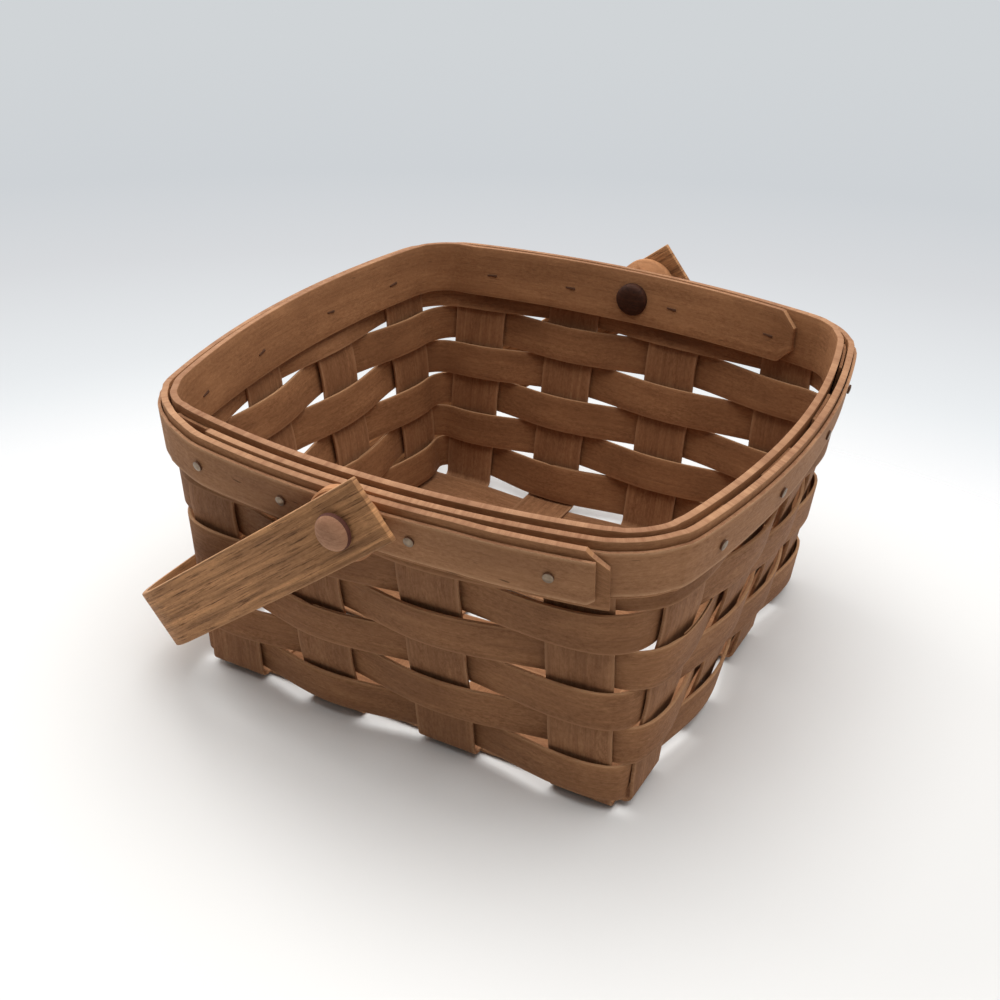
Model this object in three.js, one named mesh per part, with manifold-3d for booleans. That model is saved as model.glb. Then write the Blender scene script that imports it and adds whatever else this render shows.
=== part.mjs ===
// Berry basket woven from flat wooden splints, with a layered rim and a swing handle.
// Millimetres, +Z up. The origin is the middle of the base, on the surface it stands on.
// The near wall faces -Y, and the handle is folded down over the -X wall.

import * as THREE from 'three';
import { mergeVertices } from 'three/addons/utils/BufferGeometryUtils.js';
import Module from 'manifold-3d';

const wasm = await Module();
wasm.setup();

// Splints of the walls and the bottom
const splintThickness = 1;
const stakeWidth = 19;
const stakePitch = 39.7;
const stakesPerSide = 4;
const middleShift = 3.4;
const weaverWidth = 12.7;
const weaverRows = 5;
const rowGap = 0.5;
const baseRoom = 1.5;
const fitGap = 0.32;

// Shape of the walls
const cornerRoom = 3.4;
const flare = 17.3;
const baseCornerRadius = 3;
const rimCornerRadius = 25;
const baseBowAngle = 0.01;
const rimBowAngle = 0.235;
const foldRadius = 2.4;
const weaverBulge = 1.2;
const stakeSway = 0.4;

// Rim
const rimRoom = 24.4;
const innerBandWidth = 17.7;
const innerBandThickness = 2;
const underBandThickness = 2;
const outerBandWidth = 13.4;
const outerBandThickness = 1;
const underBandDrop = 1.2;
const outerBandDrop = 3.8;
const lapDrop = 1.2;
const underBandLip = 1.6;
const cornerPinch = 0.45;
const stakeTrim = 2.5;
const bandCut = 5;
const underLapEnd = 68;
const outerLapEnd = 65.3;
const underLapStart = -53;
const outerLapStart = 38;
const rampLength = 10;
const featherThickness = 0.4;
const innerLapStart = -62.5;
const innerLapEnd = 62;

// Nails through the rim, one at each stake
const nailHeadRadius = 1.5;
const nailHeadHeight = 0.6;
const nailShankRadius = 0.7;
const nailTip = 0.5;
const cornerNailShift = 5.5;

// Pegs that carry the handle
const pivotDrop = 9.2;
const pegRadius = 3;
const pegHeadRadius = 5.8;
const pegHeadHeight = 3.6;
const buttonRadius = 5.7;
const buttonHeight = 2.3;
const washerRadius = 10.5;
const washerThickness = 5.1;

// Swing handle
const handleWidth = 19;
const handleThickness = 2;
const handleRoom = 15.9;
const handleTip = 14.4;
const handleLean = 0.116;
const handleEase = 12;
const handleBend = 28;
const handleEdge = 0.4;

// Facets
const cornerSteps = 6;
const foldSteps = 2;
const bendSteps = 6;
const nailSides = 5;
const nailHeadSides = 8;
const pegSides = 16;
const washerSides = 20;

// How far a weaver swings between two stakes, as shares of its offset at a stake
const gapShares = [0.42, -0.42];
const cornerShares = [0.85, 0.5, 0, -0.5, -0.85];
const crownShare = 0.89;

// Sizes that follow from the ones above
const halfSplint = splintThickness / 2;
const rowPitch = weaverWidth + rowGap;
const crossing = splintThickness + fitGap;
const bottomSway = crossing / 2;
const bottomMiddle = halfSplint + bottomSway;
const firstRow = bottomMiddle + bottomSway + halfSplint + fitGap + baseRoom;
const rimHeight = firstRow + weaverRows * rowPitch + rimRoom;
const outerStake = stakePitch * (stakesPerSide - 1) / 2;
const stakeReach = outerStake + stakeWidth / 2;
const sideReach = stakeReach + cornerRoom;
const baseHalfWidth = sideReach;
const sideTurn = 2 * sideReach;
const perimeter = 4 * sideTurn;
const slope = flare / rimHeight;
const slopeAngle = Math.atan(slope);
const bandGap = halfSplint + fitGap;
const pivotHeight = rimHeight - pivotDrop;
const underBandTop = rimHeight - underBandDrop;
const outerBandTop = rimHeight - outerBandDrop;
const outerBandBottom = outerBandTop - outerBandWidth;
const nailHeight = (outerBandTop + outerBandBottom) / 2;
const nearStack = bandGap + 2 * underBandThickness + outerBandThickness + 2 * fitGap;
const farStack = bandGap + underBandThickness + fitGap + outerBandThickness;
const handleReach = baseHalfWidth + flare + farStack + handleRoom;

// Middle of the wall, seen from above, at height z: four bowed sides joined by corner arcs
function section(z) {
  const share = z / rimHeight;
  const half = baseHalfWidth + flare * share;
  const corner = baseCornerRadius + (rimCornerRadius - baseCornerRadius) * share;
  const bow = baseBowAngle + (rimBowAngle - baseBowAngle) * share;
  const lean = Math.sin(bow) - Math.cos(bow);
  const side = (half + corner * lean) / (1 + lean);
  const sideArc = side * bow;
  const reach = sideArc + corner * (Math.PI / 4 - bow);
  return { half, corner, bow, side, sideArc, reach };
}

// Where distance s along one side lies: along the side, out from the middle, and facing
function sidePoint(s, z) {
  const { half, corner, bow, side, sideArc } = section(z);
  const sign = Math.sign(s) || 1;
  const length = Math.abs(s);
  if (length <= sideArc) {
    const facing = s / side;
    return { along: side * Math.sin(facing), out: half - side * (1 - Math.cos(facing)), facing };
  }
  const facing = bow + (length - sideArc) / corner;
  const along = (side - corner) * Math.sin(bow) + corner * Math.sin(facing);
  const out = half - side + (side - corner) * Math.cos(bow) + corner * Math.cos(facing);
  return { along: sign * along, out, facing: sign * facing };
}

// Direction along a side and direction out of it; sides are near, right, far, left
function sideAxes(side) {
  const angle = side * Math.PI / 2;
  const along = new THREE.Vector3(Math.cos(angle), Math.sin(angle), 0);
  const out = new THREE.Vector3(Math.sin(angle), -Math.cos(angle), 0);
  return { along, out };
}

// A place round the basket as one number
function around(side, along) {
  return side * sideTurn + sideReach + along;
}

// The point at place q and height z, pushed out from the middle of the wall by offset
function wallPoint(q, z, offset) {
  const wrapped = ((q % perimeter) + perimeter) % perimeter;
  const side = Math.floor(wrapped / sideTurn);
  const nominal = wrapped - side * sideTurn - sideReach;
  let s = nominal;
  if (Math.abs(nominal) > stakeReach) {
    const share = (Math.abs(nominal) - stakeReach) / cornerRoom;
    s = Math.sign(nominal) * (stakeReach + share * (section(z).reach - stakeReach));
  }
  const place = sidePoint(s, z);
  const { along, out } = sideAxes(side);
  const a = place.along + offset * Math.sin(place.facing);
  const o = place.out + offset * Math.cos(place.facing);
  return new THREE.Vector3().addScaledVector(along, a).addScaledVector(out, o).setZ(z);
}

// One closed solid through rings of points; each ring is a row and the row opposite it
function sweep(rings) {
  const count = rings[0].length;
  const points = rings.flat();
  const faces = [];
  for (let i = 0; i + 1 < rings.length; i++) {
    for (let j = 0; j < count; j++) {
      const a = i * count + j;
      const b = i * count + (j + 1) % count;
      // Both faces of a splint are split along the same diagonal, so it is equally thick throughout
      if (j < count / 2) {
        faces.push(a, b, b + count, a, b + count, a + count);
      } else {
        faces.push(a, b, a + count, b, b + count, a + count);
      }
    }
  }
  const last = (rings.length - 1) * count;
  for (let j = 0; j + 1 < count / 2; j++) {
    const k = count - 1 - j;
    faces.push(j, k, k - 1, j, k - 1, j + 1);
    faces.push(last + j, last + j + 1, last + k - 1, last + j, last + k - 1, last + k);
  }
  const geometry = new THREE.BufferGeometry();
  geometry.setAttribute('position', new THREE.Float32BufferAttribute(points.flatMap((p) => [p.x, p.y, p.z]), 3));
  geometry.setIndex(faces);
  return facingOut(geometry);
}

// Turns a solid's faces over where they point in
function facingOut(geometry) {
  const index = geometry.index.array;
  const position = geometry.attributes.position;
  const [a, b, c] = [new THREE.Vector3(), new THREE.Vector3(), new THREE.Vector3()];
  let volume = 0;
  for (let i = 0; i < index.length; i += 3) {
    a.fromBufferAttribute(position, index[i]);
    b.fromBufferAttribute(position, index[i + 1]);
    c.fromBufferAttribute(position, index[i + 2]);
    volume += a.dot(b.cross(c));
  }
  if (volume < 0) {
    for (let i = 0; i < index.length; i += 3) {
      [index[i + 1], index[i + 2]] = [index[i + 2], index[i + 1]];
    }
  }
  return geometry;
}

// Solid for cutting, from a closed geometry placed by a matrix
function toSolid(geometry, matrix = new THREE.Matrix4()) {
  const plain = geometry.clone().applyMatrix4(matrix);
  plain.deleteAttribute('normal');
  plain.deleteAttribute('uv');
  const merged = mergeVertices(plain);
  const vertProperties = new Float32Array(merged.attributes.position.array);
  const triVerts = new Uint32Array(merged.index.array);
  return new wasm.Manifold(new wasm.Mesh({ numProp: 3, vertProperties, triVerts }));
}

function toGeometry(solid) {
  const { vertProperties, triVerts } = solid.getMesh();
  const geometry = new THREE.BufferGeometry();
  geometry.setAttribute('position', new THREE.Float32BufferAttribute(vertProperties, 3));
  geometry.setIndex(new THREE.Uint32BufferAttribute(triVerts, 1));
  return geometry;
}

// Takes every cutter out of a geometry
function cut(geometry, cutters) {
  let solid = toSolid(geometry);
  for (const cutter of cutters) {
    solid = solid.subtract(cutter);
  }
  return toGeometry(solid);
}

// A value that runs straight from knot to knot, with each knot a place and a value
function runs(knots) {
  return (q) => {
    if (q <= knots[0][0]) return knots[0][1];
    for (let i = 1; i < knots.length; i++) {
      const [from, start] = knots[i - 1];
      const [to, end] = knots[i];
      if (q <= to) return start + (end - start) * (q - from) / (to - from);
    }
    return knots[knots.length - 1][1];
  };
}

// Across a stake: how many places, and where they lie
function stakePlaces(side, stake, innerCount) {
  const count = outermost(stake) ? 4 : innerCount;
  const middle = stakeCentre(side, stake);
  return Array.from({ length: count }, (_, i) => middle + stakeWidth * (i / (count - 1) - 1 / 2));
}

function outermost(stake) {
  return stake === 0 || stake === stakesPerSide - 1;
}

// The middle stakes of the lengthways set all stand a little towards -X
function stakeCentre(side, stake) {
  const shift = outermost(stake) ? 0 : middleShift * Math.cos(side * Math.PI / 2);
  return stake * stakePitch - outerStake - shift;
}

// A stake lies outside the weaver of a row where this is true; row 0 is the lowest
function stakeOutside(stake, row) {
  return (stake + row) % 2 === 0;
}

// The places round the basket where hoops have an edge, for one turn
function hoopPlaces() {
  const places = [];
  for (let side = 0; side < 4; side++) {
    for (let stake = 0; stake < stakesPerSide; stake++) {
      places.push(...stakePlaces(side, stake, 2).map((along) => around(side, along)));
    }
    for (let i = 1; i < cornerSteps - 1; i++) {
      places.push(around(side, stakeReach) + 2 * cornerRoom * i / (cornerSteps - 1));
    }
  }
  return places;
}

// How far a band draws in at place q of a corner, where no stake holds the bands apart
function pinch(q) {
  const nominal = ((q % sideTurn) + sideTurn) % sideTurn - sideReach;
  const share = Math.max(Math.abs(nominal) - stakeReach, 0) / cornerRoom;
  return cornerPinch * Math.min(share * (cornerSteps - 1) / 2, 1);
}

// A hoop bent round the wall from one place to another, its sizes given as values at places
function hoop({ start, end, inner, outer, low, high, knots }) {
  const places = [start, end, ...knots];
  for (const place of hoopPlaces()) {
    for (const q of [place, place + perimeter]) {
      places.push(q);
    }
  }
  const inside = places.filter((q) => q >= start && q <= end).sort((a, b) => a - b);
  const clear = inside.filter((q, i) => i === 0 || q - inside[i - 1] > fitGap / 4);
  return sweep(clear.map((q) => {
    const shift = pinch(q) * -Math.sign(inner(q));
    return [
      wallPoint(q, high(q), inner(q) + shift),
      wallPoint(q, high(q), outer(q) + shift),
      wallPoint(q, low(q), outer(q) + shift),
      wallPoint(q, low(q), inner(q) + shift),
    ];
  }));
}

// Weaver: one splint wound in and out of the stakes, its two thinned ends lapped
function weaverOffsets(row) {
  const knots = [];
  for (let side = 0; side < 4; side++) {
    for (let stake = 0; stake < stakesPerSide; stake++) {
      const way = stakeOutside(stake, row) ? -1 : 1;
      const places = stakePlaces(side, stake, 3);
      const crown = places.length > 3 ? crownShare : 1;
      places.forEach((along, i) => {
        const atEdge = i === 0 || i === places.length - 1;
        knots.push([around(side, along), way * (crossing + (atEdge ? 0 : weaverBulge * crown))]);
      });
      const last = stake === stakesPerSide - 1;
      const shares = last ? cornerShares : gapShares;
      const edge = places[places.length - 1];
      const from = around(side, edge);
      const length = last ? 2 * cornerRoom : stakePlaces(side, stake + 1, 2)[0] - edge;
      shares.forEach((share, i) => {
        knots.push([from + length * (i + 1) / (shares.length + 1), way * crossing * share]);
      });
    }
  }
  return knots;
}

function makeWeaver(row) {
  const turn = weaverOffsets(row);
  const knots = [...turn, ...turn.map(([q, value]) => [q + perimeter, value])];
  const middle = runs(knots);
  const low = firstRow + row * rowPitch;
  const lapSide = (2 + row) % 4;
  const lapStake = stakeOutside(0, row) ? 1 : 0;
  const start = around(lapSide, stakeCentre(lapSide, lapStake));
  const weaverLap = around(lapSide, stakeCentre(lapSide, lapStake + 1)) - start;
  const end = start + perimeter + weaverLap;
  const thin = (splintThickness - fitGap) / 2;
  const outer = runs([
    [start + weaverLap + fitGap, thin - halfSplint],
    [start + weaverLap + 2 * fitGap, halfSplint],
  ]);
  const inner = runs([
    [start + perimeter - 2 * fitGap, -halfSplint],
    [start + perimeter - fitGap, halfSplint - thin],
  ]);
  const steps = [weaverLap + fitGap, weaverLap + 2 * fitGap, perimeter - 2 * fitGap, perimeter - fitGap];
  const places = [start, end, ...steps.map((step) => start + step), ...knots.map(([q]) => q)];
  const inside = places.filter((q) => q >= start && q <= end).sort((a, b) => a - b);
  const clear = inside.filter((q, i) => i === 0 || q - inside[i - 1] > fitGap / 4);
  return sweep(clear.map((q) => [
    wallPoint(q, low, middle(q) + inner(q)),
    wallPoint(q, low, middle(q) + outer(q)),
    wallPoint(q, low + weaverWidth, middle(q) + outer(q)),
    wallPoint(q, low + weaverWidth, middle(q) + inner(q)),
  ]));
}

// Stake: one splint up one wall, across the bottom and up the wall opposite
function wallRings(side, stake) {
  const way = stakeOutside(stake, 0) ? 1 : -1;
  const places = stakePlaces(side, stake, 2).map((along) => around(side, along));
  const heights = [];
  for (let row = 0; row < weaverRows; row++) {
    const sway = way * stakeSway * (row % 2 === 0 ? 1 : -1);
    heights.push([firstRow + row * rowPitch + weaverWidth / 2, sway]);
    heights.push([firstRow + (row + 1) * rowPitch - rowGap / 2, 0]);
  }
  heights.push([rimHeight - stakeTrim, 0]);
  return heights.map(([z, sway]) => [
    ...places.map((q) => wallPoint(q, z, sway - halfSplint)),
    ...places.map((q) => wallPoint(q, z, sway + halfSplint)).reverse(),
  ]);
}

// Rings of a splint lying flat at distance out from the middle, tilted by the angle of a fold
function flatRing(side, places, out, z, tilt) {
  const axes = sideAxes(side);
  const at = (along, offset) => new THREE.Vector3()
    .addScaledVector(axes.along, along)
    .addScaledVector(axes.out, out + offset * Math.sin(tilt))
    .setZ(z - offset * Math.cos(tilt));
  return [
    ...places.map((along) => at(along, -halfSplint)),
    ...places.map((along) => at(along, halfSplint)).reverse(),
  ];
}

function foldRings(side, stake) {
  const way = stakeOutside(stake, 0) ? 1 : -1;
  const centreHeight = bottomMiddle + way * bottomSway + foldRadius;
  const wallOut = baseHalfWidth + slope * (centreHeight - foldRadius * Math.sin(slopeAngle));
  const centreOut = wallOut + way * stakeSway - foldRadius * Math.cos(slopeAngle);
  const rings = [];
  for (let i = 0; i <= foldSteps; i++) {
    const tilt = (Math.PI / 2 - slopeAngle) * i / foldSteps;
    const out = centreOut + foldRadius * Math.sin(tilt);
    const z = centreHeight - foldRadius * Math.cos(tilt);
    rings.push(flatRing(side, stakePlaces(side, stake, 2), out, z, tilt));
  }
  return rings;
}

// The same ring seen from the opposite side's frame
function mirrored(ring) {
  const half = ring.length / 2;
  return [...ring.slice(0, half).reverse(), ...ring.slice(half).reverse()];
}

function makeStake(side, stake) {
  const opposite = stakesPerSide - 1 - stake;
  const start = [...foldRings(side, stake), ...wallRings(side, stake)].reverse();
  const finish = [...foldRings(side + 2, opposite), ...wallRings(side + 2, opposite)];
  const bottom = [];
  for (let crossed = 0; crossed < stakesPerSide; crossed++) {
    const way = (stakeOutside(stake, 0) ? 1 : -1) * (crossed % 2 === 0 ? 1 : -1);
    for (const edge of [-1, 1]) {
      const out = -(stakeCentre(side + 1, crossed) + edge * stakeWidth / 2);
      bottom.push(flatRing(side, stakePlaces(side, stake, 2), out, bottomMiddle + way * bottomSway, 0));
    }
  }
  return sweep([...start, ...bottom, ...finish.map(mirrored)]);
}

// How far the laps over the near wall are pushed out by the outer band's start, which lies under them
const lapPlaces = [outerLapStart - rampLength, outerLapStart, outerLapEnd].map((s) => around(0, s) + perimeter);
const lapPush = runs([
  [lapPlaces[0], 0],
  [lapPlaces[1], featherThickness + fitGap],
  [lapPlaces[2], outerBandThickness + fitGap],
]);

// Where a nail stands; at the outermost stakes it is set in from the middle
function nailPlace(side, stake) {
  const centre = stakeCentre(side, stake);
  return around(side, outermost(stake) ? centre - Math.sign(centre) * cornerNailShift : centre);
}

// Frame of a nail: its place on the middle of the wall and its direction out of the wall
function nailMatrix(side, stake) {
  const q = nailPlace(side, stake);
  const origin = wallPoint(q, nailHeight, 0);
  const out = wallPoint(q, nailHeight, 1).sub(origin).normalize();
  const direction = out.multiplyScalar(Math.cos(slopeAngle)).setZ(-Math.sin(slopeAngle));
  const turn = new THREE.Quaternion().setFromUnitVectors(new THREE.Vector3(0, 1, 0), direction);
  return new THREE.Matrix4().compose(origin, turn, new THREE.Vector3(1, 1, 1));
}

// How far the rim reaches in and out of the middle of the wall at a stake
function rimReach(side, stake) {
  const lapped = side === 0 ? nearStack : farStack;
  const pushed = side === 0 ? lapPush(nailPlace(side, stake) + perimeter) : 0;
  const doubled = side === 2 ? innerBandThickness + fitGap : 0;
  return { out: lapped + pushed, in: bandGap + innerBandThickness + doubled };
}

function nailCutter(side, stake) {
  const reach = nearStack + innerBandThickness + outerBandThickness + weaverWidth;
  const radius = (nailShankRadius + fitGap) / Math.cos(Math.PI / nailSides);
  const drill = new THREE.CylinderGeometry(radius, radius, 2 * reach, nailSides);
  return toSolid(drill, nailMatrix(side, stake));
}

function makeNail(side, stake) {
  const reach = rimReach(side, stake);
  const tip = -(reach.in * Math.cos(slopeAngle) + nailTip);
  const seat = reach.out * Math.cos(slopeAngle) + fitGap;
  const profile = [
    new THREE.Vector2(0, tip),
    new THREE.Vector2(nailShankRadius, tip),
    new THREE.Vector2(nailShankRadius, seat),
    new THREE.Vector2(nailHeadRadius, seat),
    new THREE.Vector2(nailHeadRadius * 2 / 3, seat + nailHeadHeight),
    new THREE.Vector2(0, seat + nailHeadHeight),
  ];
  return new THREE.LatheGeometry(profile, nailHeadSides);
}

// Cylinder along Y through both pivots
function pivotCutter(radius, sides) {
  const length = 4 * (baseHalfWidth + flare);
  const drill = new THREE.CylinderGeometry(radius, radius, length, sides);
  return toSolid(drill, new THREE.Matrix4().makeTranslation(0, 0, pivotHeight));
}

// Under band: first layer on the stakes, then a second layer over the near wall
function makeUnderBand() {
  const start = around(0, underLapStart);
  const end = around(0, underLapEnd) + perimeter;
  const rampFrom = around(3, sideReach);
  const rampTo = start + perimeter - fitGap;
  const second = bandGap + underBandThickness + fitGap;
  const layer = runs([[rampFrom, bandGap], [rampTo, second]]);
  const inner = (q) => layer(q) + lapPush(q);
  const drop = runs([[rampFrom, 0], [rampTo, lapDrop]]);
  const top = runs([[end - bandCut, underBandTop], [end, underBandTop - bandCut]]);
  return hoop({
    start,
    end,
    inner,
    outer: (q) => inner(q) + underBandThickness,
    low: (q) => outerBandBottom - underBandLip - drop(q),
    high: (q) => top(q) - drop(q),
    knots: [rampFrom, rampTo, ...lapPlaces, end - bandCut],
  });
}

// Outer band: a feathered start behind the under band's lap, then once round and over it
function makeOuterBand() {
  const start = around(0, outerLapStart);
  const end = around(0, outerLapEnd) + perimeter;
  const rampFrom = around(3, sideReach);
  const rampTo = around(0, underLapStart) + perimeter - fitGap;
  const second = bandGap + underBandThickness + fitGap;
  const layer = runs([[rampFrom, second], [rampTo, second + underBandThickness + fitGap]]);
  const inner = (q) => layer(q) + lapPush(q);
  const thickness = runs([[start, featherThickness], [end - perimeter, outerBandThickness]]);
  const drop = runs([[rampFrom, 0], [rampTo, lapDrop]]);
  const bottom = runs([[end - bandCut / 3, outerBandBottom], [end, outerBandBottom + bandCut / 3]]);
  return hoop({
    start,
    end,
    inner,
    outer: (q) => inner(q) + thickness(q),
    low: (q) => bottom(q) - drop(q),
    high: (q) => outerBandTop - drop(q),
    knots: [rampFrom, rampTo, ...lapPlaces, end - perimeter, end - bandCut / 3],
  });
}

// Inner band: a clipped end lapped over the far wall on the inside
function makeInnerBand() {
  const start = around(2, innerLapStart);
  const end = around(2, innerLapEnd) + perimeter;
  const stepFrom = around(2, innerLapEnd + fitGap);
  const stepTo = around(2, sideReach) + cornerRoom;
  const first = -bandGap;
  const second = first - innerBandThickness - fitGap;
  const outer = runs([[stepFrom, second], [stepTo, first]]);
  const bottom = rimHeight - innerBandWidth;
  return hoop({
    start,
    end,
    inner: (q) => outer(q) - innerBandThickness,
    outer,
    low: runs([[start, bottom + bandCut], [start + bandCut, bottom]]),
    high: runs([[start, rimHeight - bandCut], [start + bandCut, rimHeight]]),
    knots: [start + bandCut, stepFrom, stepTo],
  });
}

// Distance out to the middle of the wall at the pivots, which sit between the two middle stakes
const stakeBefore = stakePlaces(0, stakesPerSide / 2 - 1, 2)[1];
const stakeAfter = stakePlaces(0, stakesPerSide / 2, 2)[0];
const before = wallPoint(around(0, stakeBefore), pivotHeight, 0);
const after = wallPoint(around(0, stakeAfter), pivotHeight, 0);
const pivotWall = -before.lerp(after, before.x / (before.x - after.x)).y;

// Solid on the basket's side of a plane that leans with the wall, offset out from its middle
function wallSide(facing, offset) {
  const size = 4 * (baseHalfWidth + flare);
  const block = new THREE.BoxGeometry(size, size, size);
  block.translate(0, facing * size / 2, 0);
  const turn = new THREE.Matrix4().makeRotationX(facing * slopeAngle);
  const seat = (pivotWall + offset) * -facing;
  return toSolid(block, new THREE.Matrix4().makeTranslation(0, seat, pivotHeight).multiply(turn));
}

// Solid of revolution about the pivot axis: radius and distance out from the basket's middle
function pivotLathe(points, facing, sides) {
  const profile = points.map(([radius, out]) => new THREE.Vector2(radius, out));
  const lathe = new THREE.LatheGeometry(profile, sides);
  const turn = new THREE.Matrix4().makeRotationZ(facing > 0 ? Math.PI : 0);
  const lift = new THREE.Matrix4().makeTranslation(0, 0, pivotHeight);
  return toSolid(lathe, lift.multiply(turn));
}

// Faces square to the pivot axis, as distances out from the middle; facing is 1 near, -1 far
function pivotPlanes(facing) {
  const stack = facing > 0 ? nearStack : farStack;
  const inside = facing > 0 ? 0 : innerBandThickness + fitGap;
  const washerOut = pivotWall + stack + fitGap + washerThickness;
  const legIn = washerOut + fitGap;
  const headIn = legIn + handleThickness + fitGap;
  const bandIn = pivotWall - bandGap - innerBandThickness - inside;
  return { stack, washerOut, legIn, headIn, bandIn, buttonOut: bandIn - fitGap - buttonHeight };
}

function makeWasher(facing) {
  const { stack, washerOut } = pivotPlanes(facing);
  const bore = pegRadius + fitGap;
  const back = washerOut - 2 * washerThickness - washerRadius;
  const ring = pivotLathe([
    [bore, back],
    [washerRadius, back],
    [washerRadius, washerOut],
    [bore, washerOut],
    [bore, back],
  ], facing, washerSides);
  return toGeometry(ring.subtract(wallSide(facing, stack + fitGap)));
}

// Domed button on the inside that holds the end of the peg
function makeButton(facing) {
  const { bandIn, buttonOut } = pivotPlanes(facing);
  const bore = pegRadius + fitGap;
  const back = bandIn + buttonRadius;
  const ring = pivotLathe([
    [bore, buttonOut],
    [buttonRadius * 3 / 4, buttonOut],
    [buttonRadius, buttonOut + buttonHeight / 2],
    [buttonRadius, back],
    [bore, back],
    [bore, buttonOut],
  ], facing, pegSides);
  const inside = bandIn - fitGap - pivotWall;
  return toGeometry(ring.intersect(wallSide(facing, inside)));
}

function makePeg(facing) {
  const { headIn, buttonOut } = pivotPlanes(facing);
  const end = buttonOut + buttonHeight / 5;
  const crown = headIn + pegHeadHeight;
  return toGeometry(pivotLathe([
    [0, end],
    [pegRadius, end],
    [pegRadius, headIn],
    [pegHeadRadius, headIn],
    [pegHeadRadius, headIn + pegHeadHeight / 4],
    [pegHeadRadius * 3 / 4, headIn + pegHeadHeight * 4 / 5],
    [pegHeadRadius / 3, crown],
    [0, crown],
  ], facing, pegSides));
}

// Handle: a flat strip bent into a U, drawn along its middle line from one tip to the other.
// In the handle's own frame the legs run along -X from the pivot axis.
function handlePath() {
  const near = pivotPlanes(1).legIn + handleThickness / 2;
  const far = pivotPlanes(-1).legIn + handleThickness / 2;
  const middle = (far - near) / 2;
  const half = (far + near) / 2;
  const straightEnd = washerRadius + fitGap;
  const bend = handleBend - handleThickness / 2;
  const reach = handleReach - handleThickness / 2;
  const bendStart = reach - bend * (1 - Math.sin(handleLean));
  const easeEnd = straightEnd + handleEase;
  const easeDrop = handleEase * Math.tan(handleLean / 2);
  const legDrop = easeDrop + (bendStart - easeEnd) * Math.tan(handleLean);
  const points = [
    { run: -handleTip, drop: 0, angle: 0 },
    { run: straightEnd, drop: 0, angle: 0 },
    { run: easeEnd, drop: easeDrop, angle: handleLean },
    { run: bendStart, drop: legDrop, angle: handleLean },
  ];
  for (let i = 1; i <= bendSteps; i++) {
    const angle = handleLean + (Math.PI / 2 - handleLean) * i / bendSteps;
    points.push({
      run: bendStart + bend * (Math.sin(angle) - Math.sin(handleLean)),
      drop: legDrop + bend * (Math.cos(handleLean) - Math.cos(angle)),
      angle,
    });
  }
  const first = points.map(({ run, drop, angle }) => ({ run, y: middle - half + drop, angle }));
  const second = points.map(({ run, drop, angle }) => ({ run, y: middle + half - drop, angle: Math.PI - angle }));
  return [...first, ...second.reverse()];
}

function makeHandle() {
  const half = handleThickness / 2;
  const wide = handleWidth / 2;
  const outline = [
    [half - handleEdge, wide],
    [half, wide - handleEdge],
    [half, handleEdge - wide],
    [half - handleEdge, -wide],
    [handleEdge - half, -wide],
    [-half, handleEdge - wide],
    [-half, wide - handleEdge],
    [handleEdge - half, wide],
  ];
  const rings = handlePath().map(({ run, y, angle }) => outline.map(([depth, height]) => new THREE.Vector3(
    -(run - depth * Math.sin(angle)),
    y + depth * Math.cos(angle),
    height,
  )));
  const bore = new THREE.CylinderGeometry(pegRadius + fitGap, pegRadius + fitGap, 4 * (baseHalfWidth + flare), pegSides);
  return cut(sweep(rings), [toSolid(bore)]);
}

// Angle of the folded legs below level, with the strip's lower edge just clear of the wall
function restAngle() {
  const inner = handleReach - handleThickness;
  const half = handleWidth / 2;
  const bulge = crossing + weaverBulge + halfSplint;
  const level = inner + slope * half;
  const rise = slope * inner - half;
  const wall = baseHalfWidth + bulge + fitGap / Math.cos(slopeAngle) + slope * pivotHeight;
  return Math.atan2(rise, level) + Math.acos(wall / Math.hypot(level, rise));
}

// Finishes
const colours = {
  stake: new THREE.MeshStandardMaterial({ color: 0x7a5234, roughness: 0.68, metalness: 0 }),
  weaver: new THREE.MeshStandardMaterial({ color: 0x83583a, roughness: 0.66, metalness: 0 }),
  band: new THREE.MeshStandardMaterial({ color: 0x8c6141, roughness: 0.6, metalness: 0 }),
  handle: new THREE.MeshStandardMaterial({ color: 0xa5774d, roughness: 0.58, metalness: 0 }),
  peg: new THREE.MeshStandardMaterial({ color: 0x6b4433, roughness: 0.5, metalness: 0 }),
  nail: new THREE.MeshStandardMaterial({ color: 0x8d8578, roughness: 0.4, metalness: 0.9 }),
};

const basket = new THREE.Group();

function add(parent, name, geometry, material) {
  geometry.computeVertexNormals();
  const mesh = new THREE.Mesh(geometry, material);
  mesh.name = name;
  parent.add(mesh);
  return mesh;
}

const sideNames = ['near', 'right', 'far', 'left'];
const rowNames = ['first', 'second', 'third', 'fourth', 'fifth'];

// Stakes: one set runs from the near wall to the far wall, the other from right to left
for (const side of [0, 1]) {
  for (let stake = 0; stake < stakesPerSide; stake++) {
    const opposite = stakesPerSide - 1 - stake;
    const drills = [nailCutter(side, stake), nailCutter(side + 2, opposite)];
    const name = `stake_${side === 0 ? 'lengthways' : 'crossways'}_${stake + 1}`;
    add(basket, name, cut(makeStake(side, stake), drills), colours.stake);
  }
}

for (let row = 0; row < weaverRows; row++) {
  add(basket, `weaver_${rowNames[row] ?? row + 1}_row`, makeWeaver(row), colours.weaver);
}

const rimDrills = [pivotCutter(pegRadius + fitGap, pegSides)];
for (let side = 0; side < 4; side++) {
  for (let stake = 0; stake < stakesPerSide; stake++) {
    rimDrills.push(nailCutter(side, stake));
  }
}
add(basket, 'rim_inner_band', cut(makeInnerBand(), rimDrills), colours.band);
add(basket, 'rim_under_band', cut(makeUnderBand(), rimDrills), colours.band);
add(basket, 'rim_outer_band', cut(makeOuterBand(), rimDrills), colours.band);

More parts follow.
